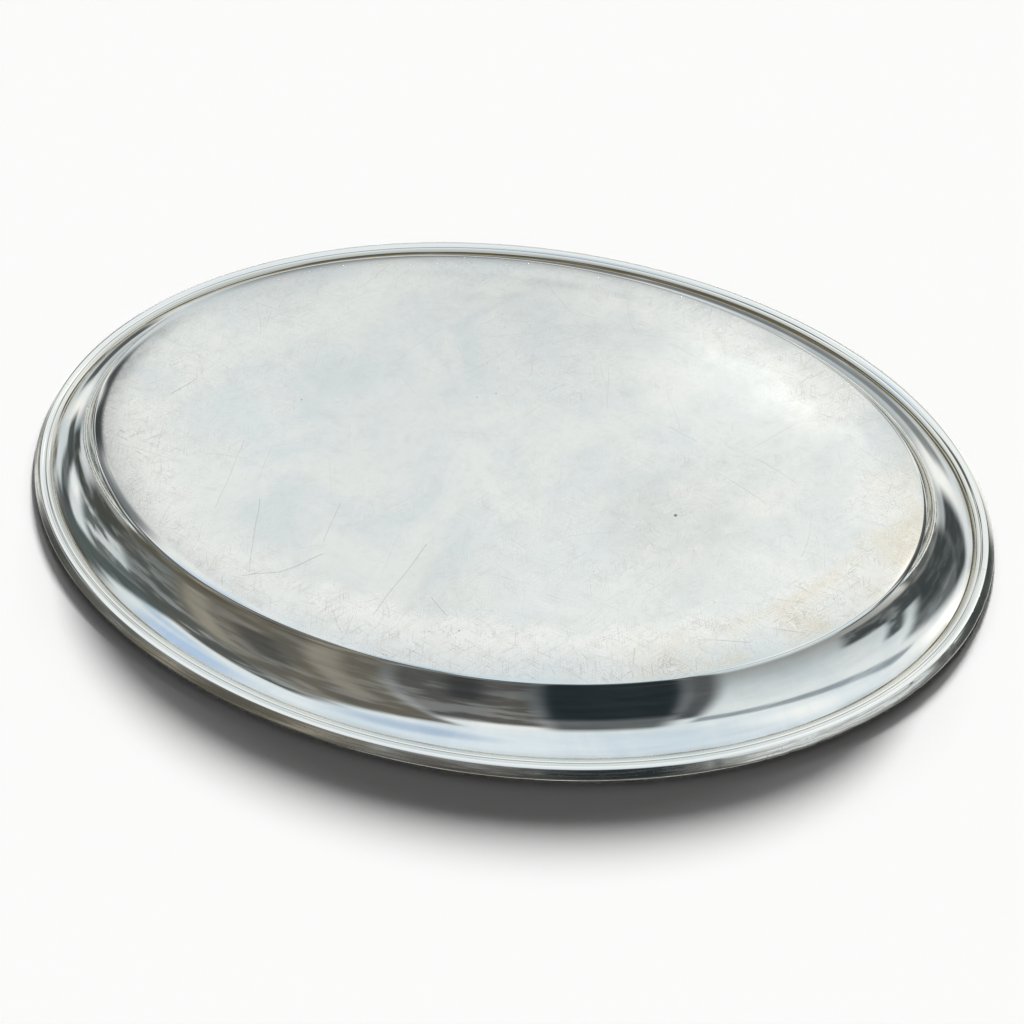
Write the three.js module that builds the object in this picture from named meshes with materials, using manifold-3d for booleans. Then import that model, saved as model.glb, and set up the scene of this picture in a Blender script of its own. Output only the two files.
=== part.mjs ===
import * as THREE from 'three';
import { mergeVertices } from 'three/addons/utils/BufferGeometryUtils.js';
import Module from 'manifold-3d';

// An oval serving platter of silver-plated sheet, lying face down: its border rests on the table
// and its flat base faces up. Millimetres, +Z up, +X along the oval, origin on the table under
// the middle of the oval. Angles are in degrees.

// Overall sizes
const platterLength = 400;
const platterWidth = 281;
const platterHeight = 21;

// Pressed dish: flat base, hollow-curved wall and a short flange, all of one sheet
const sheetThickness = 1.2;
const flangeSlope = 10;
const wallSlope = 70;
const wellCornerRadius = 2.8;

// Border moulding: reeds that step up from the flange to the rim, a bevel down to a reed along
// the outer edge, and a slot that takes the edge of the dish
const innerReedWidth = 2.5;
const innerReedRise = 1;
const middleReedWidth = 3;
const middleReedRise = 0.6;
const reedCrown = 0.35;
const bevelWidth = 2.5;
const bevelCrown = 0.08;
const edgeReedLow = 0.75;
const edgeReedHeight = 2.1;
const edgeReedCrown = 0.6;
const faceReedCrown = 0.25;
const faceLipHeight = 1.08;
const slotDepth = 2.2;

// Solder: a fillet along each side of the border, and a film in each butt joint
const filletWidth = 0.8;
const filletHeight = 0.4;
const buttSolderThickness = 0.4;

// Clearance between pieces that are soldered together
const seatGap = 0.3;

// Facets round the oval, in a reed and in half a sheet bend
const roundSteps = 96;
const reedSteps = 4;
const bendSteps = 3;

// Points closer than this are one point
const mergeDistance = 0.001;

const slope = THREE.MathUtils.degToRad(flangeSlope);
const steep = THREE.MathUtils.degToRad(wallSlope);

// Sections are drawn in a plane of reach, the distance out from the middle along the short
// axis, and height above the table.
const rimReach = platterWidth / 2;
const outerGrooveReach = rimReach - bevelWidth;
const innerGrooveReach = outerGrooveReach - middleReedWidth;
const mouthReach = innerGrooveReach - innerReedWidth;
const slotRootReach = mouthReach + slotDepth;
const sheetEdgeReach = slotRootReach - seatGap;

// Heights are measured upright through the sloping flange.
const sheetUpright = sheetThickness / Math.cos(slope);
const gapUpright = seatGap / Math.cos(slope);
const flangeHeight = faceLipHeight + gapUpright + sheetUpright;
const lipHeight = flangeHeight + gapUpright;

// Height of the flange's underside, which faces up here, and of its face
function undersideAt(reach) {
  return flangeHeight + (mouthReach - reach) * Math.tan(slope);
}

function faceAt(reach) {
  return undersideAt(reach) - sheetUpright;
}

// The points of a section outline, without those that fall on the one before.
function sectionPoints(outline, steps) {
  const points = [];
  for (const point of outline.getPoints(steps)) {
    const last = points[points.length - 1];
    if (!last || last.distanceTo(point) > mergeDistance) {
      points.push(point);
    }
  }
  return points;
}

// Joins the seam of a closed surface and drops triangles that shrink to nothing on the axis.
function closeMesh(geometry) {
  geometry.deleteAttribute('normal');
  geometry.deleteAttribute('uv');
  const merged = mergeVertices(geometry, mergeDistance);
  const corners = merged.index.array;
  const kept = [];
  for (let i = 0; i < corners.length; i += 3) {
    const triangle = Array.from(corners.slice(i, i + 3));
    if (new Set(triangle).size === 3) {
      kept.push(...triangle);
    }
  }
  merged.setIndex(kept);
  return merged;
}

// Sweeps a section round the oval. The lathe turns it on a circle of the short half width, and
// each point then goes to the oval, where it keeps its distance in from the rim.
function sweepOval(points) {
  const swept = new THREE.LatheGeometry(points, roundSteps);
  swept.rotateX(Math.PI / 2);
  const geometry = closeMesh(swept);
  const place = geometry.attributes.position;
  const halfLength = platterLength / 2;
  for (let i = 0; i < place.count; i += 1) {
    const reach = Math.hypot(place.getX(i), place.getY(i));
    if (reach > mergeDistance) {
      const across = place.getX(i) / reach;
      const along = place.getY(i) / reach;
      const outward = new THREE.Vector2(rimReach * across, halfLength * along).normalize();
      const inset = rimReach - reach;
      place.setX(i, halfLength * across - inset * outward.x);
      place.setY(i, rimReach * along - inset * outward.y);
    }
  }
  return geometry;
}

// Manifold solids, for cutting the border into its lengths
const wasm = await Module();
wasm.setup();

function toSolid(geometry) {
  const mesh = new wasm.Mesh({
    numProp: 3,
    vertProperties: new Float32Array(geometry.attributes.position.array),
    triVerts: new Uint32Array(geometry.index.array),
  });
  return new wasm.Manifold(mesh);
}

function toGeometry(solid) {
  const mesh = solid.getMesh();
  const geometry = new THREE.BufferGeometry();
  geometry.setAttribute('position', new THREE.BufferAttribute(mesh.vertProperties, 3));
  geometry.setIndex(new THREE.BufferAttribute(mesh.triVerts, 1));
  return geometry;
}

// The dish: out along the face from the middle of the well, round the sheet's edge, and back
// along the underside to the middle of the base.
function dishGeometry() {
  const filletRoom = seatGap + filletWidth + seatGap;
  const flangeReach = mouthReach - filletRoom;
  const shoulderRadius = wellCornerRadius + sheetThickness;
  const rise = platterHeight - undersideAt(flangeReach);
  const shoulderDrop = shoulderRadius * (1 - Math.cos(steep));
  const hollowRadius = (rise - shoulderDrop) / (Math.cos(slope) - Math.cos(steep));

  const hollow = new THREE.Vector2(
    flangeReach + hollowRadius * Math.sin(slope),
    undersideAt(flangeReach) + hollowRadius * Math.cos(slope),
  );
  const shoulder = new THREE.Vector2(
    hollow.x - (hollowRadius + shoulderRadius) * Math.sin(steep),
    platterHeight - shoulderRadius,
  );

  const quarter = Math.PI / 2;
  const wallTurn = quarter - steep;
  const hollowTop = 3 * quarter - steep;
  const hollowFoot = 3 * quarter - slope;

  const outline = new THREE.Path();
  outline.moveTo(0, platterHeight - sheetThickness);
  outline.lineTo(shoulder.x, platterHeight - sheetThickness);
  outline.absarc(shoulder.x, shoulder.y, wellCornerRadius, quarter, wallTurn, true);
  outline.absarc(hollow.x, hollow.y, hollowRadius + sheetThickness, hollowTop, hollowFoot, false);
  outline.lineTo(sheetEdgeReach, faceAt(sheetEdgeReach));
  outline.lineTo(sheetEdgeReach, undersideAt(sheetEdgeReach));
  outline.absarc(hollow.x, hollow.y, hollowRadius, hollowFoot, hollowTop, true);
  outline.absarc(shoulder.x, shoulder.y, shoulderRadius, wallTurn, quarter, false);
  outline.lineTo(0, platterHeight);
  return sweepOval(sectionPoints(outline, bendSteps));
}

// One reed of the border, from where the outline stands to the groove at its far side.
function addReed(outline, reach, height, crown) {
  const start = outline.currentPoint.clone();
  const end = new THREE.Vector2(reach, height);
  const chord = end.clone().sub(start);
  const outward = new THREE.Vector2(chord.y, -chord.x).normalize();
  const control = start.add(end).multiplyScalar(0.5).addScaledVector(outward, 2 * crown);
  outline.quadraticCurveTo(control.x, control.y, end.x, end.y);
}

// The border's section, from the face side of the slot's mouth, under the reeds that rest on
// the table, round the outer edge, over the reeds of the underside, and through the slot.
function borderSection() {
  const innerGrooveHeight = lipHeight + innerReedRise;
  const outerGrooveHeight = innerGrooveHeight + middleReedRise;
  const edgeReach = rimReach - edgeReedCrown;
  const outline = new THREE.Path();
  outline.moveTo(mouthReach, faceLipHeight);
  addReed(outline, innerGrooveReach, faceReedCrown, faceReedCrown);
  addReed(outline, outerGrooveReach, faceReedCrown, faceReedCrown);
  addReed(outline, edgeReach, edgeReedLow, faceReedCrown);
  addReed(outline, edgeReach, edgeReedLow + edgeReedHeight, edgeReedCrown);
  addReed(outline, outerGrooveReach, outerGrooveHeight, bevelCrown);
  addReed(outline, innerGrooveReach, innerGrooveHeight, reedCrown);
  addReed(outline, mouthReach, lipHeight, reedCrown);
  outline.lineTo(slotRootReach, undersideAt(slotRootReach) + gapUpright);
  outline.lineTo(slotRootReach, faceAt(slotRootReach) - gapUpright);
  outline.lineTo(mouthReach, faceLipHeight);
  return sectionPoints(outline, reedSteps);
}

// A block that takes in the whole border on one side of a plane, or between two planes.
function cuttingBlock(lowX, highX, lowY, highY) {
  const tall = 2 * platterHeight;
  const block = new THREE.BoxGeometry(highX - lowX, highY - lowY, tall);
  block.translate((lowX + highX) / 2, (lowY + highY) / 2, platterHeight / 2);
  return toSolid(closeMesh(block));
}

// The border in two lengths that butt at the ends of the oval, with solder between them.
function borderPieces() {
  const ring = toSolid(sweepOval(borderSection()));
  const film = buttSolderThickness / 2;
  const end = film + seatGap;
  const farX = platterLength;
  const farY = platterWidth;
  return {
    front: toGeometry(ring.intersect(cuttingBlock(-farX, farX, -farY, -end))),
    back: toGeometry(ring.intersect(cuttingBlock(-farX, farX, end, farY))),
    left: toGeometry(ring.intersect(cuttingBlock(-farX, 0, -film, film))),
    right: toGeometry(ring.intersect(cuttingBlock(0, farX, -film, film))),
  };
}

// A fillet of solder in the corner between the flange and the border's inner edge. The side is
// 1 on the underside of the flange and -1 on its face.
function filletGeometry(side) {
  const heelReach = mouthReach - seatGap;
  const toeReach = heelReach - filletWidth;
  const flangeAt = side > 0 ? undersideAt : faceAt;
  const heel = new THREE.Vector2(heelReach, flangeAt(heelReach) + side * gapUpright);
  const toe = new THREE.Vector2(toeReach, flangeAt(toeReach) + side * gapUpright);
  const crest = new THREE.Vector2(heelReach, heel.y + side * filletHeight);
  const section = side > 0 ? [toe, heel, crest, toe] : [toe, crest, heel, toe];
  return sweepOval(section);
}

function silverPlate(roughness) {
  return new THREE.MeshStandardMaterial({ color: 0xd6d8d5, metalness: 1, roughness });
}

function tarnishedSolder() {
  return new THREE.MeshStandardMaterial({ color: 0x9a8460, metalness: 1, roughness: 0.4 });
}

const platter = new THREE.Group();

function addPiece(name, geometry, material) {
  geometry.computeVertexNormals();
  const piece = new THREE.Mesh(geometry, material);
  piece.name = name;
  platter.add(piece);
}

const border = borderPieces();
addPiece('dish', dishGeometry(), silverPlate(0.22));
addPiece('border_front', border.front, silverPlate(0.12));
addPiece('border_back', border.back, silverPlate(0.12));
addPiece('seam_solder_under', filletGeometry(1), tarnishedSolder());
addPiece('seam_solder_face', filletGeometry(-1), tarnishedSolder());
addPiece('butt_solder_left', border.left, tarnishedSolder());
addPiece('butt_solder_right', border.right, tarnishedSolder());

export default platter;
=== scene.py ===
import math
import random

import bmesh
import bpy
import numpy as np
from mathutils import Matrix, Vector
from mathutils.noise import fractal


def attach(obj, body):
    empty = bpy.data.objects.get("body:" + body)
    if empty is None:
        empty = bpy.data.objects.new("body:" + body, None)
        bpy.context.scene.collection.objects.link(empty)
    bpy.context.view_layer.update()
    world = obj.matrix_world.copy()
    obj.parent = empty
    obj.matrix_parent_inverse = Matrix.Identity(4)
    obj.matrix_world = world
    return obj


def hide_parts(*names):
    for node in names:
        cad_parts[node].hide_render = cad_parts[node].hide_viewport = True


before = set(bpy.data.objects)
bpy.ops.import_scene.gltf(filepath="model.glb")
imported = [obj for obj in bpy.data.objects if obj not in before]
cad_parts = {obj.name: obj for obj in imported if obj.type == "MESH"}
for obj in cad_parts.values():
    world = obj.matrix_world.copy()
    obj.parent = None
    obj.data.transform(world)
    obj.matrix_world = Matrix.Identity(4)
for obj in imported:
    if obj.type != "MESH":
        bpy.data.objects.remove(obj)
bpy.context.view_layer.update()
print("frame loaded:", sorted(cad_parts))

scene = bpy.context.scene
scene.view_settings.view_transform = "Standard"
dice = random.Random(7)
mm = 0.001

# sizes shared by all pieces, in millimetres; insets run in from the rim, square to it
oval = {"length": 400.0, "width": 281.0, "height": 21.0}
halfLength = oval["length"] / 2
halfWidth = oval["width"] / 2


def rimFrame(turns):
    # points of the rim, and the direction out of it, for each turn
    point = np.stack([halfLength * np.cos(turns), halfWidth * np.sin(turns)], 1)
    out = np.stack([halfWidth * np.cos(turns), halfLength * np.sin(turns)], 1)
    return point, out / np.linalg.norm(out, axis=1)[:, None]


def sweepRows(section, turns):
    # one row of points for each (inset, height) of the section, one column for each turn
    point, out = rimFrame(turns)
    rows = []
    for inset, height in section:
        flat = point - inset * out
        tall = np.full((len(turns), 1), height)
        rows.append(np.concatenate([flat, tall], 1))
    return np.array(rows)


def gridFaces(rowCount, columnCount, closedRows, closedColumns):
    faces = []
    lastRow = rowCount if closedRows else rowCount - 1
    lastColumn = columnCount if closedColumns else columnCount - 1
    for i in range(lastRow):
        below = i * columnCount
        above = (i + 1) % rowCount * columnCount
        for j in range(lastColumn):
            k = (j + 1) % columnCount
            faces.append((below + j, below + k, above + k, above + j))
    return faces


def makePiece(name, points, faces, material, sharpAngle=35):
    mesh = bpy.data.meshes.new(name)
    mesh.from_pydata([tuple(p) for p in np.asarray(points) * mm], [], faces)
    shell = bmesh.new()
    shell.from_mesh(mesh)
    bmesh.ops.recalc_face_normals(shell, faces=shell.faces)
    shell.to_mesh(mesh)
    shell.free()
    mesh.shade_smooth()
    mesh.set_sharp_from_angle(angle=math.radians(sharpAngle))
    mesh.materials.append(material)
    piece = bpy.data.objects.new(name, mesh)
    scene.collection.objects.link(piece)
    return piece


def markPoints(piece, name, values):
    # a value at each point of the mesh, read by the materials
    mark = piece.data.attributes.new(name, "FLOAT", "POINT")
    mark.data.foreach_set("value", np.asarray(values, dtype=np.float32).ravel())


def seat(piece, node):
    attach(piece, "root")
    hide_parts(node)


def smoothRamp(low, high, value):
    t = np.clip((np.asarray(value, dtype=float) - low) / (high - low), 0, 1)
    return t * t * (3 - 2 * t)


def ripple(turns, size, lowest, highest):
    # a slow random wave round the oval
    total = np.zeros(len(turns))
    for k in range(lowest, highest + 1):
        share = dice.uniform(-1, 1)
        total += share * np.sin(k * turns + dice.uniform(0, 2 * math.pi)) / math.sqrt(k)
    return size * total


def wayAlong(section):
    # distance along a section, for the polishing lines that follow the rim
    steps = np.hypot(*np.diff(np.asarray(section), axis=0).T)
    return np.concatenate([[0], np.cumsum(steps)])


# node helpers: a value that is already a socket is linked, anything else is set
def setInput(tree, socket, value):
    if isinstance(value, bpy.types.NodeSocket):
        tree.links.new(value, socket)
    else:
        socket.default_value = value


def compute(tree, operation, a, b=None):
    node = tree.nodes.new("ShaderNodeMath")
    node.operation = operation
    setInput(tree, node.inputs[0], a)
    if b is not None:
        setInput(tree, node.inputs[1], b)
    return node.outputs[0]


def vectorMath(tree, operation, a, b):
    node = tree.nodes.new("ShaderNodeVectorMath")
    node.operation = operation
    setInput(tree, node.inputs[0], a)
    setInput(tree, node.inputs[1], b)
    isNumber = operation in ("DISTANCE", "DOT_PRODUCT")
    return node.outputs["Value" if isNumber else "Vector"]


def ramp(tree, value, low, high, start=0.0, end=1.0):
    node = tree.nodes.new("ShaderNodeMapRange")
    node.interpolation_type = "SMOOTHSTEP"
    setInput(tree, node.inputs["Value"], value)
    node.inputs["From Min"].default_value = low
    node.inputs["From Max"].default_value = high
    node.inputs["To Min"].default_value = start
    node.inputs["To Max"].default_value = end
    return node.outputs["Result"]


def noise(tree, vector, scale, detail=3.0, roughness=0.5, distortion=0.0, flat=False):
    node = tree.nodes.new("ShaderNodeTexNoise")
    node.noise_dimensions = "2D" if flat else "3D"
    setInput(tree, node.inputs["Vector"], vector)
    node.inputs["Scale"].default_value = scale
    node.inputs["Detail"].default_value = detail
    node.inputs["Roughness"].default_value = roughness
    node.inputs["Distortion"].default_value = distortion
    return node.outputs["Fac"]


def blendColor(tree, factor, a, b):
    node = tree.nodes.new("ShaderNodeMix")
    node.data_type = "RGBA"
    setInput(tree, node.inputs[0], factor)
    setInput(tree, node.inputs[6], a)
    setInput(tree, node.inputs[7], b)
    return node.outputs[2]


def blendValue(tree, factor, a, b):
    node = tree.nodes.new("ShaderNodeMix")
    setInput(tree, node.inputs[0], factor)
    setInput(tree, node.inputs[2], a)
    setInput(tree, node.inputs[3], b)
    return node.outputs[0]


def tint(tree, color, mask, share, shade):
    # lays a shade over a colour where a mask shows it
    return blendColor(tree, compute(tree, "MULTIPLY", mask, share), color, shade)


def stronger(tree, total, layer):
    # the stronger of the layers so far and the next one
    return layer if total is None else compute(tree, "MAXIMUM", total, layer)


def newMaterial(name):
    material = bpy.data.materials.new(name)
    material.use_nodes = True
    tree = material.node_tree
    shader = tree.nodes["Principled BSDF"]
    shader.inputs["Metallic"].default_value = 1.0
    place = tree.nodes.new("ShaderNodeTexCoord").outputs["Object"]
    inMm = vectorMath(tree, "MULTIPLY", place, (1000.0, 1000.0, 1000.0))
    return material, tree, shader, inMm


def readMark(tree, name):
    node = tree.nodes.new("ShaderNodeAttribute")
    node.attribute_name = name
    return node.outputs["Fac"]


def rimLines(tree, place, across, pace):
    # coordinates that change fast across the section and slowly along the rim
    slow = vectorMath(tree, "MULTIPLY", place, (pace, pace, 0.0))
    fast = tree.nodes.new("ShaderNodeCombineXYZ")
    setInput(tree, fast.inputs[2], across)
    return vectorMath(tree, "ADD", slow, fast.outputs[0])


def addBump(tree, shader, height, distance):
    bump = tree.nodes.new("ShaderNodeBump")
    bump.inputs["Distance"].default_value = distance * mm
    setInput(tree, bump.inputs["Height"], height)
    setInput(tree, shader.inputs["Normal"], bump.outputs["Normal"])


# scattered hairlines: each cell holds one slightly bowed stroke that points its own way
def hairlines(tree, place, cell, length, width, shift):
    spot = vectorMath(tree, "ADD", place, (shift, shift * 0.7, 0.0))
    cells = tree.nodes.new("ShaderNodeTexVoronoi")
    cells.voronoi_dimensions = "2D"
    setInput(tree, cells.inputs["Vector"], spot)
    cells.inputs["Scale"].default_value = 1 / cell
    away = vectorMath(tree, "SUBTRACT", spot, cells.outputs["Position"])
    chance = tree.nodes.new("ShaderNodeSeparateColor")
    setInput(tree, chance.inputs[0], cells.outputs["Color"])
    turn = tree.nodes.new("ShaderNodeVectorRotate")
    turn.rotation_type = "Z_AXIS"
    setInput(tree, turn.inputs["Vector"], away)
    setInput(tree, turn.inputs["Angle"], compute(tree, "MULTIPLY", chance.outputs[0], math.pi))
    along = vectorMath(tree, "DOT_PRODUCT", turn.outputs[0], (1.0, 0.0, 0.0))
    aside = vectorMath(tree, "DOT_PRODUCT", turn.outputs[0], (0.0, 1.0, 0.0))
    along = compute(tree, "MULTIPLY", along, along)
    bow = compute(tree, "SUBTRACT", chance.outputs[1], 0.5)
    bow = compute(tree, "MULTIPLY", bow, 0.5 / length)
    aside = compute(tree, "ADD", aside, compute(tree, "MULTIPLY", along, bow))
    line = ramp(tree, compute(tree, "ABSOLUTE", aside), width, width * 0.3)
    line = compute(tree, "MULTIPLY", line, ramp(tree, along, length ** 2 / 4, length ** 2 / 10))
    return compute(tree, "MULTIPLY", line, ramp(tree, chance.outputs[2], 0.15, 0.9, 0.25, 1.0))


# fine parallel lines that come and go, all along one heading
def hatch(tree, place, heading, length, width):
    turn = tree.nodes.new("ShaderNodeVectorRotate")
    turn.rotation_type = "Z_AXIS"
    setInput(tree, turn.inputs["Vector"], place)
    turn.inputs["Angle"].default_value = math.radians(heading)
    drawn = vectorMath(tree, "MULTIPLY", turn.outputs[0], (1 / length, 1 / width, 0.0))
    return ramp(tree, noise(tree, drawn, 1.0, 1.0, flat=True), 0.58, 0.74)


# one scratch between two points of the base
def scratch(tree, place, start, end, width):
    middle = (Vector(start) + Vector(end)) / 2
    half = (Vector(end) - Vector(start)) / 2
    turn = tree.nodes.new("ShaderNodeVectorRotate")
    turn.rotation_type = "Z_AXIS"
    setInput(tree, turn.inputs["Vector"], vectorMath(tree, "SUBTRACT", place, (*middle, 0.0)))
    turn.inputs["Angle"].default_value = -math.atan2(half.y, half.x)
    along = vectorMath(tree, "MULTIPLY", turn.outputs[0], (1.0, 0.0, 0.0))
    along = vectorMath(tree, "MINIMUM", along, (half.length, 0.0, 0.0))
    along = vectorMath(tree, "MAXIMUM", along, (-half.length, 0.0, 0.0))
    return ramp(tree, vectorMath(tree, "DISTANCE", turn.outputs[0], along), width, width * 0.25)


dishLook = {
    "silver": (0.935, 0.93, 0.912, 1),
    "cool": (0.795, 0.832, 0.846, 1),
    "cream": (0.985, 0.965, 0.92, 1),
    "gold": (0.86, 0.77, 0.6, 1),
    "tarnish": (0.24, 0.185, 0.1, 1),
    "dull": (0.36, 0.34, 0.3, 1),
    "pit": (0.12, 0.11, 0.1, 1),
    "bright": (0.985, 0.98, 0.965, 1),
    "polish": 0.045,
    "clean": 0.11,
    "scuffed": 0.27,
    "spread": 0.74,
    # how much of each colour and mark shows
    "creamShare": 0.85,
    "goldShare": 0.65,
    "dullShare": 0.45,
    "lineShare": 0.6,
    "smearClean": 0.11,
    "smearScuffed": 0.23,
    # the scuffed band: how broken it is, and what is left of it at the far side
    "bandBreak": 3.3,
    "bandFar": 0.35,
    "patchLeast": 0.12,
    "patchMost": 0.5,
    # how far lines bend, and the depth of the relief, in mm
    "warp": 9.0,
    "relief": 0.02,
    # crosshatch of fine lines: heading in degrees, length and width in mm
    "dullHatch": [(14, 13, 0.5), (72, 9, 0.44), (129, 15, 0.54)],
    "brightHatch": [(41, 9, 0.46), (98, 12, 0.5), (156, 8, 0.44)],
    # hairlines: cell, length and width in mm, how strong where the base is scuffed and where clean
    "hairlines": [
        (9.0, 8.5, 0.2, 0.5, 0.05),
        (15.0, 14.0, 0.2, 0.55, 0.14),
        (31.0, 27.0, 0.2, 0.5, 0.24),
    ],
    # single scratches on the base: from, to, how strong
    "scratches": [
        ((-139, -8), (-133, 4), 1.0),
        ((-99, -24), (-97, -63), 0.4),
        ((-81, -54), (-70, -87), 0.6),
        ((-72, -90), (-59, -83), 0.8),
        ((-59, -83), (-46, -72), 0.8),
        ((-49, -46), (-47, -67), 0.5),
        ((-10, -56), (-18, -96), 0.75),
        ((1, -82), (10, -88), 0.7),
        ((80, -85), (82, -91), 0.7),
        ((104, 18), (122, 10), 0.5),
        ((97, 6), (112, -3), 0.45),
        ((65, 29), (79, 22), 0.4),
        ((102, -74), (120, -69), 0.7),
        ((127, -61), (138, -60), 0.7),
    ],
    "scratchWidth": 0.24,
    # small pits in the base: where, and how wide
    "pits": [
        ((79, -18), 1.5),
        ((-15, 23), 0.6),
        ((-8, 27), 0.6),
        ((15, 19), 0.5),
        ((-17, 43), 0.5),
        ((16, -93), 0.7),
        ((56, -53), 0.5),
        ((53, -99), 0.6),
        ((-85, 3), 0.7),
    ],
    "pitShare": 0.85,
    # duller places on the base: where, how far they reach, how dull
    "dullSpots": [
        ((80, -22), 40, 0.13),
        ((112, 14), 44, 0.09),
        ((-118, 72), 34, 0.1),
        ((4, -76), 30, 0.06),
    ],
}


def dishMaterial(look):
    material, tree, shader, place = newMaterial("silver_dish")
    wear = readMark(tree, "wear")  # 1 on the base, 0 on the polished wall
    edgeNear = readMark(tree, "edgeNear")
    seamNear = readMark(tree, "seamNear")
    across = readMark(tree, "across")

    # the base is scuffed in a broken band along its edge and in a few patches
    broken = compute(tree, "SUBTRACT", noise(tree, place, 0.03, 6.0, 0.65), 0.5)
    broken = compute(tree, "MULTIPLY", broken, look["bandBreak"])
    band = ramp(tree, compute(tree, "ADD", edgeNear, broken), 0.0, 1.3)
    farWard = vectorMath(tree, "DOT_PRODUCT", place, (-0.35, 1.0, 0.0))
    band = compute(tree, "MULTIPLY", band, ramp(tree, farWard, 30.0, 120.0, 1.0, look["bandFar"]))
    patches = noise(tree, place, 0.019, 5.0, 0.6)
    patches = ramp(tree, patches, 0.4, 0.75, look["patchLeast"], look["patchMost"])
    scuffed = compute(tree, "MULTIPLY", compute(tree, "MAXIMUM", band, patches), wear)

    # lines are drawn on a slightly warped plane, so that none is quite straight
    warp = tree.nodes.new("ShaderNodeTexNoise")
    warp.inputs["Scale"].default_value = 0.025
    warp.inputs["Detail"].default_value = 1.0
    setInput(tree, warp.inputs["Vector"], place)
    far = look["warp"]
    bent = vectorMath(tree, "MULTIPLY", warp.outputs["Color"], (far, far, 0.0))
    bent = vectorMath(tree, "SUBTRACT", bent, (far / 2, far / 2, 0.0))
    bent = vectorMath(tree, "ADD", bent, place)
    bent = vectorMath(tree, "MULTIPLY", bent, (1.0, 1.0, 0.0))
    clumps = ramp(tree, noise(tree, bent, 0.13, 3.0, 0.6), 0.36, 0.66, 0.25, 1.0)
    hatched = compute(tree, "MULTIPLY", scuffed, clumps)
    dull = None
    for heading, length, width in look["dullHatch"]:
        layer = hatch(tree, bent, heading, length, width)
        dull = stronger(tree, dull, layer)
    bright = None
    for heading, length, width in look["brightHatch"]:
        layer = hatch(tree, bent, heading, length, width)
        bright = stronger(tree, bright, layer)
    dull = compute(tree, "MULTIPLY", dull, hatched)
    bright = compute(tree, "MULTIPLY", bright, hatched)

    lines = None
    for i, (cell, length, width, onScuffed, onClean) in enumerate(look["hairlines"]):
        layer = hairlines(tree, bent, cell, length, width, 137.0 * (i + 1))
        layer = compute(tree, "MULTIPLY", layer, ramp(tree, scuffed, 0.0, 1.0, onClean, onScuffed))
        lines = stronger(tree, lines, layer)
    for start, end, strength in look["scratches"]:
        mark = scratch(tree, bent, start, end, look["scratchWidth"])
        lines = compute(tree, "MAXIMUM", lines, compute(tree, "MULTIPLY", mark, strength))
    lines = compute(tree, "MULTIPLY", lines, wear)
    pitted = None
    for spot, width in look["pits"]:
        reach = vectorMath(tree, "DISTANCE", place, (*spot, oval["height"]))
        mark = ramp(tree, reach, width * 0.6, width * 0.25)
        pitted = stronger(tree, pitted, mark)

    # colour: cool silver, cream where scuffed, golden at the right end, brown beside the solder
    clouds = noise(tree, place, 0.024, 5.0, 0.6, 0.6)
    color = blendColor(tree, ramp(tree, clouds, 0.36, 0.66), look["silver"], look["cool"])
    color = tint(tree, color, scuffed, look["creamShare"], look["cream"])
    endWard = vectorMath(tree, "DOT_PRODUCT", place, (0.9, -0.6, 0.0))
    golden = ramp(tree, endWard, 105.0, 165.0)
    golden = compute(tree, "MULTIPLY", golden, ramp(tree, edgeNear, 0.78, 0.99))
    speckled = ramp(tree, noise(tree, place, 0.05, 3.0), 0.35, 0.65)
    golden = compute(tree, "MULTIPLY", golden, speckled)
    golden = compute(tree, "MULTIPLY", golden, wear)
    color = tint(tree, color, golden, look["goldShare"], look["gold"])
    smears = ramp(tree, noise(tree, bent, 0.16, 6.0, 0.72, 0.5), 0.42, 0.8)
    smeared = ramp(tree, scuffed, 0.0, 1.0, look["smearClean"], look["smearScuffed"])
    smears = compute(tree, "MULTIPLY", smears, smeared)
    for spot, reach, strength in look["dullSpots"]:
        away = vectorMath(tree, "DISTANCE", bent, (*spot, 0.0))
        smears = compute(tree, "ADD", smears, ramp(tree, away, reach, reach * 0.2, 0.0, strength))
    color = tint(tree, color, smears, wear, look["dull"])
    color = tint(tree, color, dull, look["dullShare"], look["dull"])
    color = blendColor(tree, bright, color, look["bright"])
    color = tint(tree, color, lines, look["lineShare"], look["dull"])
    color = tint(tree, color, pitted, look["pitShare"], look["pit"])
    stain = compute(tree, "MULTIPLY", seamNear, ramp(tree, noise(tree, place, 0.05, 4.0), 0.3, 0.6))
    color = blendColor(tree, stain, color, look["tarnish"])
    setInput(tree, shader.inputs["Base Color"], color)
    # dense scuffing spreads the light and looks paler than the clean metal
    setInput(tree, shader.inputs["Metallic"], ramp(tree, scuffed, 0.0, 1.0, 1.0, look["spread"]))

    grain = noise(tree, place, 0.8, 4.0, 0.6)
    rough = blendValue(tree, scuffed, look["clean"], look["scuffed"])
    rough = compute(tree, "ADD", rough, compute(tree, "MULTIPLY", grain, 0.05))
    rough = blendValue(tree, wear, look["polish"], rough)
    setInput(tree, shader.inputs["Roughness"], rough)

    # relief: a fine grain where scuffed, and lines of polishing round the wall
    relief = compute(tree, "MULTIPLY", grain, compute(tree, "MULTIPLY", scuffed, 0.5))
    polishing = noise(tree, rimLines(tree, place, across, 0.02), 1.0, 4.0, 0.6)
    polished = compute(tree, "MULTIPLY", compute(tree, "SUBTRACT", 1.0, wear), 0.4)
    relief = compute(tree, "ADD", relief, compute(tree, "MULTIPLY", polishing, polished))
    addBump(tree, shader, relief, look["relief"])
    return material


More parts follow.
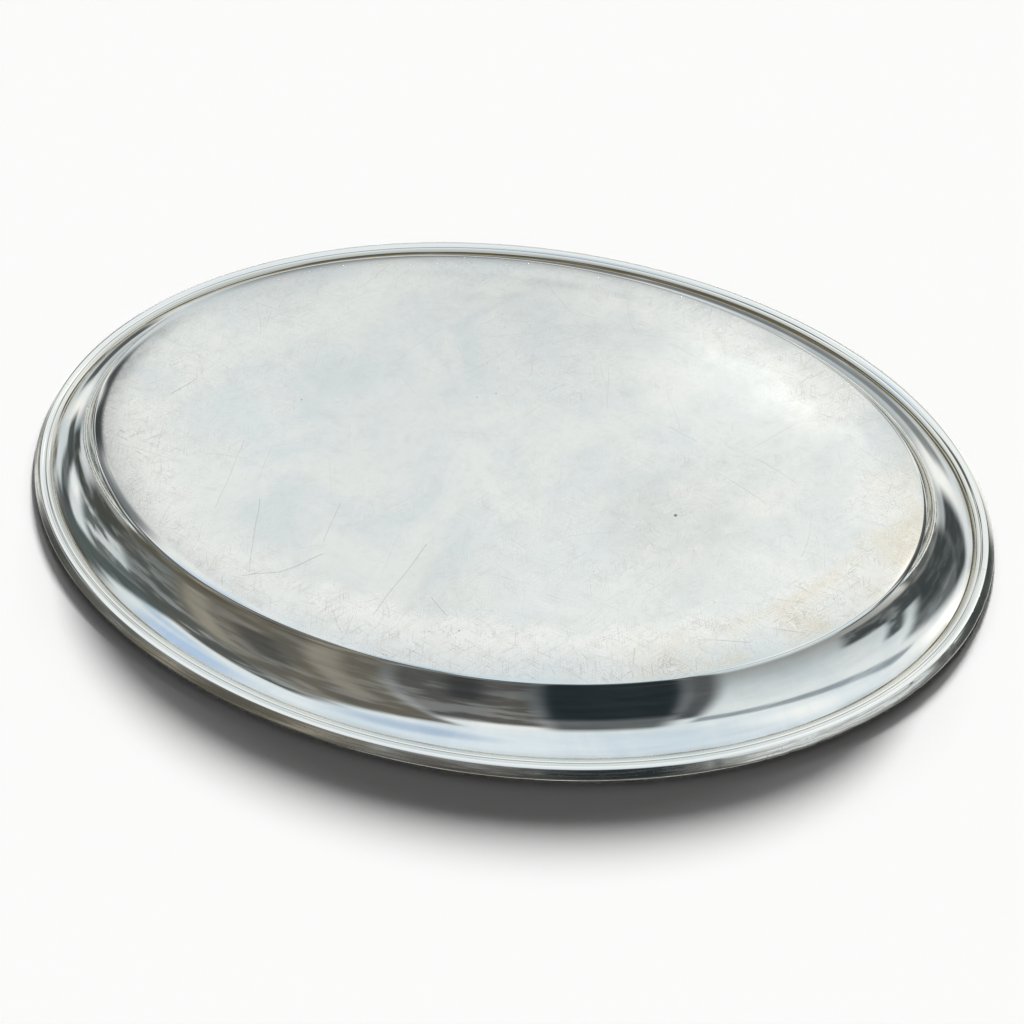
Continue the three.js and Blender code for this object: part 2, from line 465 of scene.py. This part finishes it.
borderLook = {
    "silver": (0.97, 0.97, 0.955, 1),
    "soiled": (0.5, 0.46, 0.37, 1),
    "rubbed": (0.5, 0.475, 0.42, 1),
    "groove": (0.34, 0.31, 0.25, 1),
    "polish": 0.06,
    "rubbedShare": 0.75,
    "soiledShare": 0.75,
    "relief": 0.008,
}


def borderMaterial(look):
    material, tree, shader, place = newMaterial("silver_border")
    outer = readMark(tree, "outerSide")
    groove = readMark(tree, "groove")
    tarnished = readMark(tree, "tarnished")
    across = readMark(tree, "across")
    # lines left by drawing the moulding
    drawn = noise(tree, rimLines(tree, place, across, 0.03), 1.6, 4.0, 0.6)

    streaks = ramp(tree, drawn, 0.38, 0.6)
    specks = ramp(tree, noise(tree, place, 0.9, 5.0, 0.65), 0.55, 0.68)
    rubbed = compute(tree, "MULTIPLY", compute(tree, "MAXIMUM", streaks, specks), outer)
    color = tint(tree, look["silver"], rubbed, look["rubbedShare"], look["rubbed"])
    color = tint(tree, color, tarnished, look["soiledShare"], look["soiled"])
    color = blendColor(tree, groove, color, look["groove"])
    setInput(tree, shader.inputs["Base Color"], color)
    rough = compute(tree, "ADD", compute(tree, "MULTIPLY", rubbed, 0.22), look["polish"])
    setInput(tree, shader.inputs["Roughness"], rough)
    relief = compute(tree, "MULTIPLY", drawn, compute(tree, "ADD", outer, 0.4))
    addBump(tree, shader, relief, look["relief"])
    return material


solderLook = {"bright": (0.86, 0.83, 0.76, 1), "brown": (0.2, 0.155, 0.085, 1)}


def solderMaterial(look):
    material, tree, shader, place = newMaterial("solder")
    tarnished = readMark(tree, "tarnished")
    uneven = compute(tree, "SUBTRACT", noise(tree, place, 0.06, 4.0, 0.6), 0.5)
    patch = compute(tree, "ADD", tarnished, uneven)
    color = blendColor(tree, ramp(tree, patch, 0.1, 0.95), look["bright"], look["brown"])
    setInput(tree, shader.inputs["Base Color"], color)
    rough = ramp(tree, noise(tree, place, 0.5, 3.0), 0.3, 0.7, 0.2, 0.42)
    setInput(tree, shader.inputs["Roughness"], rough)
    return material


silverDish = dishMaterial(dishLook)
silverBorder = borderMaterial(borderLook)
solder = solderMaterial(solderLook)
print("materials made")

# border moulding: two lengths of a reeded section, with a slot for the edge of the sheet
border = {
    "innerReed": 2.5,
    "innerRise": 1.0,
    "middleReed": 3.0,
    "middleRise": 0.6,
    "crown": 0.35,
    "bevel": 2.5,
    "bevelCrown": 0.04,
    "edgeLow": 0.6,
    "edgeReed": 1.7,
    "edgeCrown": 0.35,
    "faceCrown": 0.25,
    "faceLip": 1.08,
    "slotDepth": 2.2,
    "jointWidth": 0.12,
    "steps": 480,
    "reedSteps": 10,
    "nicks": 34,
    "nickDepth": 0.1,
    # nicks: middle turn, spread and half width in degrees
    "nickTurn": -38,
    "nickSpread": 16,
    "nickHalf": (0.3, 1.4),
    # how dark the crease at the bevel's inner edge is, and how much the back edge is rubbed
    "crease": 0.35,
    "rubbedBack": 0.25,
}
# pressed dish: flat base that rolls off into the corner, hollow-curved wall and short flange
dish = {
    "sheet": 1.2,
    "flangeSlope": 10,
    "wallSlope": 70,
    "wallDrop": 2.63,
    "corner": 2.2,
    "rollTilt": 9,
    "flangeStraight": 1.4,
    "seatGap": 0.3,
    "steps": 480,
    "rings": 40,
    "rollSteps": 16,
    "cornerSteps": 18,
    "hollowSteps": 44,
    # unevenness of the pressing, then of the base: depth, waves, shortest and longest of them
    "ripple": 0.03,
    "dip": 0.3,
    "dipWaves": 9,
    "dipLengths": (55, 130),
    # where wear ends past the roll-off, how much sooner at the left end, how uneven, how soft
    "wornTo": 0.1,
    "wornLeft": 3.0,
    "wornRipple": 0.3,
    "wornSoft": 1.6,
    # stain beside the solder: how far it reaches, how strong
    "stainReach": 2.2,
    "stainShare": 0.7,
    # scuffed band: where it starts, as a share of the way out, how much sooner at the left end
    "bandStart": 0.82,
    "bandLeft": 0.14,
}
# how far the tarnish beside the solder has gone, by turn in degrees from the right end
tarnish = {
    "turns": [-180, -150, -128, -112, -50, -28, -10, 15, 45, 70, 110, 150, 180],
    "amounts": [0.6, 0.7, 0.6, 0.25, 0.4, 0.7, 0.85, 0.95, 1.0, 1.0, 1.0, 0.85, 0.6],
}

slope = math.radians(dish["flangeSlope"])
steep = math.radians(dish["wallSlope"])
outerGroove = border["bevel"]
innerGroove = outerGroove + border["middleReed"]
mouth = innerGroove + border["innerReed"]
slotRoot = mouth - border["slotDepth"]
sheetUpright = dish["sheet"] / math.cos(slope)
gapUpright = dish["seatGap"] / math.cos(slope)
flangeHeight = border["faceLip"] + gapUpright + sheetUpright
lipHeight = flangeHeight + gapUpright


def undersideAt(inset):
    return flangeHeight + (inset - mouth) * math.tan(slope)


def faceAt(inset):
    return undersideAt(inset) - sheetUpright


def tarnishAt(turns):
    degrees = (np.degrees(turns) + 180) % 360 - 180
    return np.interp(degrees, tarnish["turns"], tarnish["amounts"])


def bend(center, radius, start, end, steps):
    # an arc as (inset, height, tilt of the surface); a hollow one has a negative radius
    points = []
    for tilt in np.linspace(start, end, steps):
        inset = center[0] - radius * math.sin(tilt)
        points.append((inset, center[1] + radius * math.cos(tilt), tilt))
    return points


def dishSection():
    # the underside from the flat of the base out to the edge of the sheet
    foot = mouth + dish["flangeStraight"]
    wallTop = oval["height"] - dish["wallDrop"]
    hollow = (wallTop - undersideAt(foot)) / (math.cos(slope) - math.cos(steep))
    hollowAt = (foot - hollow * math.sin(slope), undersideAt(foot) + hollow * math.cos(slope))
    corner = dish["corner"]
    cornerInset = hollowAt[0] + (hollow + corner) * math.sin(steep)
    cornerAt = (cornerInset, wallTop - corner * math.cos(steep))
    rollTilt = math.radians(dish["rollTilt"])
    rollEnd = cornerAt[0] - corner * math.sin(rollTilt)
    sink = oval["height"] - cornerAt[1] - corner * math.cos(rollTilt)
    rollWidth = 2 * sink / math.tan(rollTilt)
    under = []
    for t in np.linspace(0, 1, dish["rollSteps"]):
        tilt = math.atan(t * math.tan(rollTilt))
        under.append((rollEnd + (1 - t) * rollWidth, oval["height"] - sink * t * t, tilt))
    under += bend(cornerAt, corner, rollTilt, steep, dish["cornerSteps"])[1:]
    under += bend(hollowAt, -hollow, steep, slope, dish["hollowSteps"])[1:]
    sheetEdge = slotRoot + dish["seatGap"]
    for inset in (mouth, sheetEdge):
        under.append((inset, undersideAt(inset), slope))
    return under, rollEnd


def buildDish():
    under, rollEnd = dishSection()
    sheet = dish["sheet"]
    face = []
    for inset, height, tilt in under[::-1]:
        face.append((inset + sheet * math.sin(tilt), height - sheet * math.cos(tilt), tilt))
    insets, heights, tilts = np.array(under + face).T
    section = np.stack([insets, heights], 1)

    count = dish["steps"]
    turns = np.linspace(0, 2 * math.pi, count, endpoint=False)
    wall = sweepRows(section, turns)
    # the pressing isn't perfectly even round the oval
    out = rimFrame(turns)[1]
    shift = ripple(turns, dish["ripple"], 5, 26)
    for i, (inset, height) in enumerate(section):
        hold = smoothRamp(mouth, mouth + 8, inset)
        hold = hold * smoothRamp(oval["height"], oval["height"] - 5, height)
        wall[i, :, :2] += (hold * shift)[:, None] * out
    shares = np.linspace(0, 1, dish["rings"] + 1)[1:-1]
    topRows = np.array([wall[0] * (s, s, 1) for s in shares])
    wellRows = np.array([wall[-1] * (s, s, 1) for s in shares[::-1]])
    rows = np.concatenate([topRows, wall, wellRows])

    points = rows.reshape(-1, 3)
    topMiddle = len(points)
    ends = np.array([[0, 0, oval["height"]], [0, 0, oval["height"] - sheet]])
    points = np.concatenate([points, ends])
    faces = gridFaces(len(rows), count, False, True)
    lastRow = (len(rows) - 1) * count
    for j in range(count):
        k = (j + 1) % count
        faces.append((topMiddle, k, j))
        faces.append((topMiddle + 1, lastRow + j, lastRow + k))

    # the base dips a little, unevenly
    sag = np.zeros(len(points))
    for i in range(dish["dipWaves"]):
        heading = dice.uniform(0, math.pi)
        pace = 2 * math.pi / dice.uniform(*dish["dipLengths"])
        along = points[:, 0] * math.cos(heading) + points[:, 1] * math.sin(heading)
        sag += np.sin(along * pace + dice.uniform(0, 6.28)) / 4
    wholeWall = np.ones(len(wall) * count)
    topShare = np.repeat(shares, count)
    wellShare = np.repeat(shares[::-1], count)
    share = np.concatenate([topShare, wholeWall, wellShare, [0, 0]])
    sag = 0.5 + 0.5 * np.clip(sag, -1, 1)
    points[:, 2] -= smoothRamp(1.0, 0.8, share) * dish["dip"] * sag

    # wear ends where the base rolls off, and a little sooner at the left end
    leftness = smoothRamp(-0.1, -0.75, np.cos(turns))
    wornTo = rollEnd + dish["wornTo"] + dish["wornLeft"] * leftness
    wornTo = wornTo + ripple(turns, dish["wornRipple"], 6, 24)
    worn = smoothRamp(-dish["wornSoft"], dish["wornSoft"], insets[:, None] - wornTo[None])
    worn[len(under):] = 1 - smoothRamp(2, 18, np.degrees(tilts[len(under):]))[:, None]
    piece = makePiece("dish_sheet", points, faces, silverDish, sharpAngle=50)
    ringCount = len(shares) * count
    flat = np.zeros(ringCount)
    stain = 1 - smoothRamp(mouth + 0.4, mouth + dish["stainReach"], insets)
    seam = stain[:, None] * tarnishAt(turns)[None] * dish["stainShare"]
    lines = np.repeat(wayAlong(section), count)
    markPoints(piece, "wear", np.concatenate([flat + 1, worn.ravel(), flat + 1, [1, 1]]))
    markPoints(piece, "across", np.concatenate([flat, lines, flat, [0, 0]]))
    markPoints(piece, "seamNear", np.concatenate([flat, seam.ravel(), flat, [0, 0]]))
    # the scuffed band is widest at the left end
    bandStart = dish["bandStart"] - dish["bandLeft"] * smoothRamp(-30, -120, points[:, 0])
    markPoints(piece, "edgeNear", smoothRamp(0, 1, (share - bandStart) / (1 - bandStart)))
    seat(piece, "dish")


def reedPoints(start, end, crown, steps):
    # a rounded reed between two grooves, standing out from the section
    a = np.array(start)
    b = np.array(end)
    chord = b - a
    out = np.array([-chord[1], chord[0]]) / np.linalg.norm(chord)
    control = (a + b) / 2 + 2 * crown * out
    points = []
    for t in np.linspace(0, 1, steps + 1):
        p = (1 - t) ** 2 * a + 2 * t * (1 - t) * control + t * t * b
        points.append((p[0], p[1]))
    return points


def borderSection():
    # corners of the section and the crown of the reed that leads to each, from the face side of
    # the slot, under the reeds that rest on the table and round the edge to the underside
    innerHeight = lipHeight + border["innerRise"]
    outerHeight = innerHeight + border["middleRise"]
    low = border["faceCrown"]
    edgeTop = border["edgeLow"] + border["edgeReed"]
    corners = [
        ((innerGroove, low), low),
        ((outerGroove, low), low),
        ((border["edgeCrown"], border["edgeLow"]), low),
        ((border["edgeCrown"], edgeTop), border["edgeCrown"]),
        ((outerGroove, outerHeight), border["bevelCrown"]),
        ((innerGroove, innerHeight), border["crown"]),
        ((mouth, lipHeight), border["crown"]),
    ]
    section = [(mouth, border["faceLip"])]
    cornerRows = []
    for corner, crown in corners:
        section += reedPoints(section[-1], corner, crown, border["reedSteps"])[1:]
        cornerRows.append(len(section) - 1)
    section.append((slotRoot, undersideAt(slotRoot) + gapUpright))
    section.append((slotRoot, faceAt(slotRoot) - gapUpright))
    return np.array(section), cornerRows


def closedStrip(section, turns):
    # a length of moulding with both ends closed
    rows = sweepRows(section, turns)
    columns = len(turns)
    faces = gridFaces(len(section), columns, True, False)
    faces.append([i * columns for i in range(len(section))])
    faces.append([i * columns + columns - 1 for i in reversed(range(len(section)))])
    return rows, faces


def buildBorder():
    section, cornerRows = borderSection()
    tiny = border["jointWidth"] / 2 / halfWidth
    outerRow = 1 - smoothRamp(1.9, 2.5, section[:, 0])
    grooveRow = np.zeros(len(section))
    grooveRow[[cornerRows[0], cornerRows[1], cornerRows[5]]] = 1
    grooveRow[cornerRows[4]] = border["crease"]
    innerRow = smoothRamp(innerGroove - 0.2, mouth - 0.4, section[:, 0])
    lengths = {
        "border_front": (math.pi + tiny, 2 * math.pi - tiny),
        "border_back": (tiny, math.pi - tiny),
    }
    # knocks along the outer edge, most of them on the right half of the front
    knocks = []
    for i in range(border["nicks"]):
        at = math.radians(dice.gauss(border["nickTurn"], border["nickSpread"]))
        half = math.radians(dice.uniform(*border["nickHalf"]))
        knocks.append((at, half, dice.uniform(0.3, 1)))
    for name, (start, end) in lengths.items():
        turns = np.linspace(start, end, border["steps"])
        rows, faces = closedStrip(section, turns)
        out = rimFrame(turns)[1]
        for at, half, deep in knocks:
            off = np.abs((turns - at + math.pi) % (2 * math.pi) - math.pi)
            dent = np.clip(1 - (off / half) ** 2, 0, 1) ** 2 * deep * border["nickDepth"]
            rows[:, :, :2] -= outerRow[:, None, None] * (dent[:, None] * out)[None]
        columns = len(turns)
        piece = makePiece(name + "_reeds", rows.reshape(-1, 3), faces, silverBorder)
        # the edge is rubbed most along the front
        least = border["rubbedBack"]
        handled = least + (1 - least) * smoothRamp(0.35, -0.35, np.sin(turns))
        markPoints(piece, "outerSide", outerRow[:, None] * handled[None])
        markPoints(piece, "groove", np.repeat(grooveRow, columns))
        markPoints(piece, "across", np.repeat(wayAlong(section), columns))
        markPoints(piece, "tarnished", innerRow[:, None] * tarnishAt(turns)[None])
        seat(piece, name)

    # a film of solder fills each butt joint
    films = {
        "butt_solder_right": (-tiny, tiny),
        "butt_solder_left": (math.pi - tiny, math.pi + tiny),
    }
    for name, (start, end) in films.items():
        rows, faces = closedStrip(section, np.linspace(start, end, 2))
        piece = makePiece(name + "_film", rows.reshape(-1, 3), faces, solder)
        markPoints(piece, "tarnished", np.full(rows.shape[:2], 0.5))
        seat(piece, name)


# solder fillets between flange and border, on both sides of the sheet
fillet = {
    "width": 0.7,
    "rise": 0.55,
    "hollow": 0.14,
    "pull": 0.3,
    "tuck": 0.35,
    "sink": 0.02,
    "steps": 480,
    "faceSteps": 7,
}


def buildFillet(name, side):
    surface = undersideAt if side > 0 else faceAt
    toeInset = mouth + fillet["width"]
    heelInset = mouth - fillet["tuck"]
    toe = (toeInset, surface(toeInset) - side * fillet["sink"])
    heel = (heelInset, surface(heelInset) - side * fillet["sink"])
    crest = (heelInset, surface(mouth) + side * fillet["rise"])
    section = []
    for t in np.linspace(0, 1, fillet["faceSteps"]):
        dip = 4 * t * (1 - t) * fillet["hollow"]
        inset = toe[0] + t * (crest[0] - toe[0]) - fillet["pull"] * dip
        section.append((inset, toe[1] + t * (crest[1] - toe[1]) - side * dip))
    section.append(heel)
    turns = np.linspace(0, 2 * math.pi, fillet["steps"], endpoint=False)
    rows = sweepRows(section, turns)
    faces = gridFaces(len(section), len(turns), True, True)
    piece = makePiece(name + "_fillet", rows.reshape(-1, 3), faces, solder, sharpAngle=60)
    markPoints(piece, "tarnished", np.tile(tarnishAt(turns), len(section)))
    seat(piece, name)


buildDish()
print("dish built")
buildBorder()
print("border built")
buildFillet("seam_solder_under", 1)
buildFillet("seam_solder_face", -1)
print("solder built")

# camera, by where it looks and from how far
cameraView = {
    "target": (11.3, -15.9, 0.0),
    "azimuth": 20.34,
    "elevation": 49.12,
    "roll": -3.95,
    "distance": 706.6,
    "lens": 61.52,
}


def buildCamera(view):
    azimuth = math.radians(view["azimuth"])
    elevation = math.radians(view["elevation"])
    roll = math.radians(view["roll"])
    back = Vector((
        math.sin(azimuth) * math.cos(elevation),
        -math.cos(azimuth) * math.cos(elevation),
        math.sin(elevation),
    ))
    right = (-back).cross(Vector((0, 0, 1))).normalized()
    up = right.cross(-back)
    sideAxis = math.cos(roll) * right + math.sin(roll) * up
    upAxis = -math.sin(roll) * right + math.cos(roll) * up
    place = (Vector(view["target"]) + view["distance"] * back) * mm
    axes = Matrix((sideAxis, upAxis, back)).transposed()
    data = bpy.data.cameras.new("camera")
    data.lens = view["lens"]
    data.sensor_width = 36
    data.clip_start = 0.01
    camera = bpy.data.objects.new("camera", data)
    scene.collection.objects.link(camera)
    camera.matrix_world = Matrix.Translation(place) @ axes.to_4x4()
    scene.camera = camera


buildCamera(cameraView)
print("camera placed")

# floor, lamps and the pale room
studio = {
    "floorSize": 40.0,
    "floorColor": (0.96, 0.96, 0.955, 1),
    # lamps behind the platter: azimuth, elevation, how wide it is seen, strength
    "lamps": [
        (9.5, 19.6, 8.4, 7.3),
        (-8, 19.5, 8.4, 0.6),
        (27, 19.5, 8.4, 0.6),
        (9.5, 32, 50, 0.36),
    ],
    "roomLight": 0.04,
    "backdrop": 0.97,
}


def buildStudio():
    half = studio["floorSize"] / 2
    mesh = bpy.data.meshes.new("floor")
    corners = [(-half, -half, 0), (half, -half, 0), (half, half, 0), (-half, half, 0)]
    mesh.from_pydata(corners, [], [(0, 1, 2, 3)])
    material = bpy.data.materials.new("floor")
    material.use_nodes = True
    shader = material.node_tree.nodes["Principled BSDF"]
    shader.inputs["Base Color"].default_value = studio["floorColor"]
    shader.inputs["Roughness"].default_value = 1.0
    shader.inputs["Specular IOR Level"].default_value = 0.0
    mesh.materials.append(material)
    floor = bpy.data.objects.new("floor", mesh)
    scene.collection.objects.link(floor)
    # the floor is hidden from the silver, which sees the tent's foot in its place, painted dark as
    # painted shadow
    floor.visible_glossy = False  # the silver shows the foot of the tent instead

    # low lamps behind the platter throw the shadow to the front
    for i, (azimuth, elevation, angle, strength) in enumerate(studio["lamps"]):
        lamp = bpy.data.lights.new("lamp%d" % i, "SUN")
        lamp.energy = strength
        lamp.angle = math.radians(angle)
        lampObject = bpy.data.objects.new("lamp%d" % i, lamp)
        aside = math.radians(azimuth)
        up = math.radians(elevation)
        toLamp = Vector((
            -math.sin(aside) * math.cos(up),
            math.cos(aside) * math.cos(up),
            math.sin(up),
        ))
        lampObject.rotation_euler = toLamp.to_track_quat("Z", "Y").to_euler()
        lampObject.visible_glossy = False
        scene.collection.objects.link(lampObject)

    world = bpy.data.worlds.new("room")
    world.use_nodes = True
    tree = world.node_tree
    background = tree.nodes["Background"]
    background.inputs["Color"].default_value = (1, 1, 1, 1)
    rays = tree.nodes.new("ShaderNodeLightPath")
    seen = compute(tree, "MAXIMUM", rays.outputs["Is Camera Ray"], rays.outputs["Is Glossy Ray"])
    seen = compute(tree, "MAXIMUM", seen, rays.outputs["Is Transmission Ray"])
    level = tree.nodes.new("ShaderNodeMapRange")
    setInput(tree, level.inputs["Value"], seen)
    level.inputs["To Min"].default_value = studio["roomLight"]
    level.inputs["To Max"].default_value = studio["backdrop"]
    tree.links.new(level.outputs["Result"], background.inputs["Strength"])
    scene.world = world


buildStudio()

# cloth tent round the platter, seen only in reflections: pale above, with dark flags round it, and
# its foot painted dark as a painted shadow in place of the floor's shadow.
# Azimuths run from +X towards +Y, in degrees.
tent = {
    "radius": 12.0,
    "lowest": -70,
    "step": 1,
    # colour by elevation; the foot, below about -30 degrees, is painted shadow that stands in for
    # the floor's contact shadow under the rim
    "skyAndPaintedShadow": [
        (-70, (0.05, 0.05, 0.045)),
        (-40, (0.12, 0.115, 0.1)),
        (-16, (0.34, 0.345, 0.33)),
        (0, (0.45, 0.48, 0.48)),
        (14, (0.6, 0.64, 0.65)),
        (30, (0.7, 0.745, 0.75)),
        (44, (0.8, 0.84, 0.835)),
        (56, (0.86, 0.895, 0.885)),
        (70, (0.74, 0.82, 0.87)),
        (90, (0.76, 0.84, 0.89)),
    ],
    # soft patches: azimuth, elevation, half width, half height, colour
    "clouds": [
        (112, 8, 28, 20, (1.1, 1.1, 1.085)),
        (97, 44.3, 8, 2.1, (1.75, 1.75, 1.7)),
        (94.3, 45.6, 4, 1.7, (1.5, 1.5, 1.45)),
        (107, 39.4, 11, 2.8, (0.4, 0.43, 0.44)),
        (115, 47.2, 5, 2.2, (0.68, 0.75, 0.775)),
        (123.5, 45, 4, 3, (0.95, 1.0, 1.0)),
        (107.5, 51, 4, 5, (0.95, 0.985, 0.97)),
        (102.2, 49.6, 2.6, 2.8, (0.7, 0.72, 0.7)),
        (96, 52.4, 5.5, 3, (1.16, 1.15, 1.09)),
        (-150, 75, 45, 9, (0.5, 0.61, 0.74)),
        (165, 58, 22, 8, (0.48, 0.63, 0.82)),
        (-178, 52, 9, 8, (0.55, 0.68, 0.81)),
        (15, 68, 55, 9, (0.95, 0.985, 0.975)),
        (58, 51, 30, 7, (1.2, 1.2, 1.15)),
        (66, 12, 9, 30, (1.0, 1.0, 0.96)),
        (60, -28, 80, 26, (1.05, 1.05, 1.02)),
        (134, -32, 28, 18, (1.3, 1.3, 1.27)),
        (164, -8, 13, 12, (0.75, 0.75, 0.73)),
        (167.5, 20, 7, 9, (0.95, 0.95, 0.92)),
        (147, 10, 8, 22, (0.98, 0.97, 0.92)),
    ],
    # flags: azimuth from and to, lowest and top elevation, softness, colour, share of gaps
    "flags": [
        (84, 124, 13, 25, 7, (0.22, 0.23, 0.23), 0),
        (129, 140, 29.5, 36, 3, (0.06, 0.065, 0.065), 0),
        (131, 142, 13, 24, 3, (0.1, 0.105, 0.1), 0),
        (137, 148, 34, 42, 3, (0.05, 0.055, 0.055), 0),
        (145, 152, 40, 51, 4, (0.2, 0.21, 0.215), 0),
        (150, 163, 36, 49, 4, (0.12, 0.13, 0.13), 0),
        (150, 163, 10, 20, 4, (0.09, 0.1, 0.095), 0),
        (155, 163, -4, 45, 4, (0.07, 0.08, 0.075), 0.15),
        (175, 198, -14, 13, 6, (0.075, 0.08, 0.072), 0.3),
        (162, 177, 1, 12, 4, (0.075, 0.08, 0.072), 0.2),
        (173, 198, 12, 38, 6, (0.14, 0.16, 0.155), 0.85),
        (156, 198, 37, 47, 4, (0.1, 0.12, 0.115), 0.15),
        (-167, -149, -20, 66, 5, (0.11, 0.115, 0.105), 0.25),
        (-151, -108, -20, 64, 5, (0.15, 0.14, 0.115), 0.1),
        (-148, -142, -8, 40, 4, (0.29, 0.27, 0.22), 0.1),
        (-136, -128, 6, 36, 5, (0.09, 0.087, 0.08), 0),
        (-122, -116, -16, 46, 4, (0.27, 0.25, 0.21), 0.2),
        (-108, -83, -20, 55, 6, (0.105, 0.102, 0.095), 0.15),
        (-98, -92, -20, 20, 4, (0.055, 0.055, 0.055), 0),
        (-84, -55, 38, 60, 8, (0.13, 0.138, 0.14), 0),
        (-84, -55, -24, 43, 7, (0.022, 0.03, 0.034), 0),
        (-56, -49, -24, 50, 5, (0.1, 0.102, 0.105), 0),
        (-49, 33, 51, 57.5, 3, (0.36, 0.41, 0.44), 0.15),
        (-15, 5, -12, 9, 5, (0.065, 0.075, 0.075), 0.2),
        (3, 12, -12, 30, 5, (0.1, 0.11, 0.11), 0.3),
        (9, 22, -12, 12, 5, (0.07, 0.08, 0.08), 0.1),
        (19, 50, 24, 43, 8, (0.15, 0.165, 0.165), 0.1),
        (19, 50, -9, 29, 8, (0.058, 0.068, 0.067), 0.05),
        (48, 61, 4, 42, 6, (0.06, 0.07, 0.068), 0.05),
        (70, 86, 13, 27, 6, (0.25, 0.265, 0.265), 0),
        (19, 50, -30, -9, 6, (0.13, 0.135, 0.13), 0.1),
        (-170, -50, -60, -15, 6, (0.12, 0.11, 0.08), 0.2),
        (-52, -12, -60, -26, 6, (0.1, 0.095, 0.08), 0.1),
    ],
}


def clothColor(azimuth, elevation, mottle):
    levels = [level for level, tone in tent["skyAndPaintedShadow"]]
    channels = []
    for k in range(3):
        tones = [tone[k] for level, tone in tent["skyAndPaintedShadow"]]
        channels.append(np.interp(elevation, levels, tones))
    color = np.stack(channels, -1) * (1 + 0.05 * mottle)[..., None]
    for at, height, wide, tall, tone in tent["clouds"]:
        aside = (azimuth - at + 180) % 360 - 180
        share = 1 - smoothRamp(0.2, 1, np.hypot(aside / wide, (elevation - height) / tall))
        color += (np.array(tone) - color) * share[..., None]
    for start, end, low, top, soft, tone, gaps in tent["flags"]:
        middle = (start + end) / 2
        half = (end - start) / 2
        aside = np.abs((azimuth - middle + 180) % 360 - 180)
        share = 1 - smoothRamp(half - soft / 2, half + soft / 2, aside)
        share *= 1 - smoothRamp(top - soft / 2, top + soft / 2, elevation)
        share *= smoothRamp(low - soft / 2, low + soft / 2, elevation)
        share *= 1 - gaps * smoothRamp(-0.05, 0.35, mottle)
        color += (np.array(tone) * (1 + 0.2 * mottle)[..., None] - color) * share[..., None]
    return color


def buildTent():
    columns = 360 // tent["step"]
    heights = np.arange(tent["lowest"], 90.5, tent["step"])
    azimuth, elevation = np.meshgrid(np.linspace(-180, 180, columns, endpoint=False), heights)
    flat = np.cos(np.radians(elevation))
    points = np.stack([
        flat * np.cos(np.radians(azimuth)),
        flat * np.sin(np.radians(azimuth)),
        np.sin(np.radians(elevation)),
    ], -1)
    rays = points.reshape(-1, 3)
    mottle = np.array([fractal(Vector(ray * 6), 0.7, 2.1, 5) for ray in rays])
    mottle = mottle.reshape(azimuth.shape)
    solid = np.ones((*azimuth.shape, 1))
    color = np.concatenate([clothColor(azimuth, elevation, mottle), solid], -1)
    faces = gridFaces(len(heights), columns, False, True)
    mesh = bpy.data.meshes.new("tent")
    mesh.from_pydata([tuple(p) for p in rays * tent["radius"]], [], faces)
    mesh.shade_smooth()
    paint = mesh.color_attributes.new("cloth", "FLOAT_COLOR", "POINT")
    paint.data.foreach_set("color", color.astype(np.float32).ravel())
    material = bpy.data.materials.new("tent")
    material.use_nodes = True
    tree = material.node_tree
    tree.nodes.clear()
    glow = tree.nodes.new("ShaderNodeEmission")
    cloth = tree.nodes.new("ShaderNodeVertexColor")
    cloth.layer_name = "cloth"
    tree.links.new(cloth.outputs["Color"], glow.inputs["Color"])
    bounced = tree.nodes.new("ShaderNodeLightPath").outputs["Diffuse Depth"]
    setInput(tree, glow.inputs["Strength"], ramp(tree, bounced, 0.0, 1.0, 1.0, 0.0))
    output = tree.nodes.new("ShaderNodeOutputMaterial")
    tree.links.new(glow.outputs[0], output.inputs["Surface"])
    mesh.materials.append(material)
    cloak = bpy.data.objects.new("tent", mesh)
    scene.collection.objects.link(cloak)
    cloak.visible_camera = False
    cloak.visible_diffuse = False
    cloak.visible_shadow = False


buildTent()
print("studio lit")
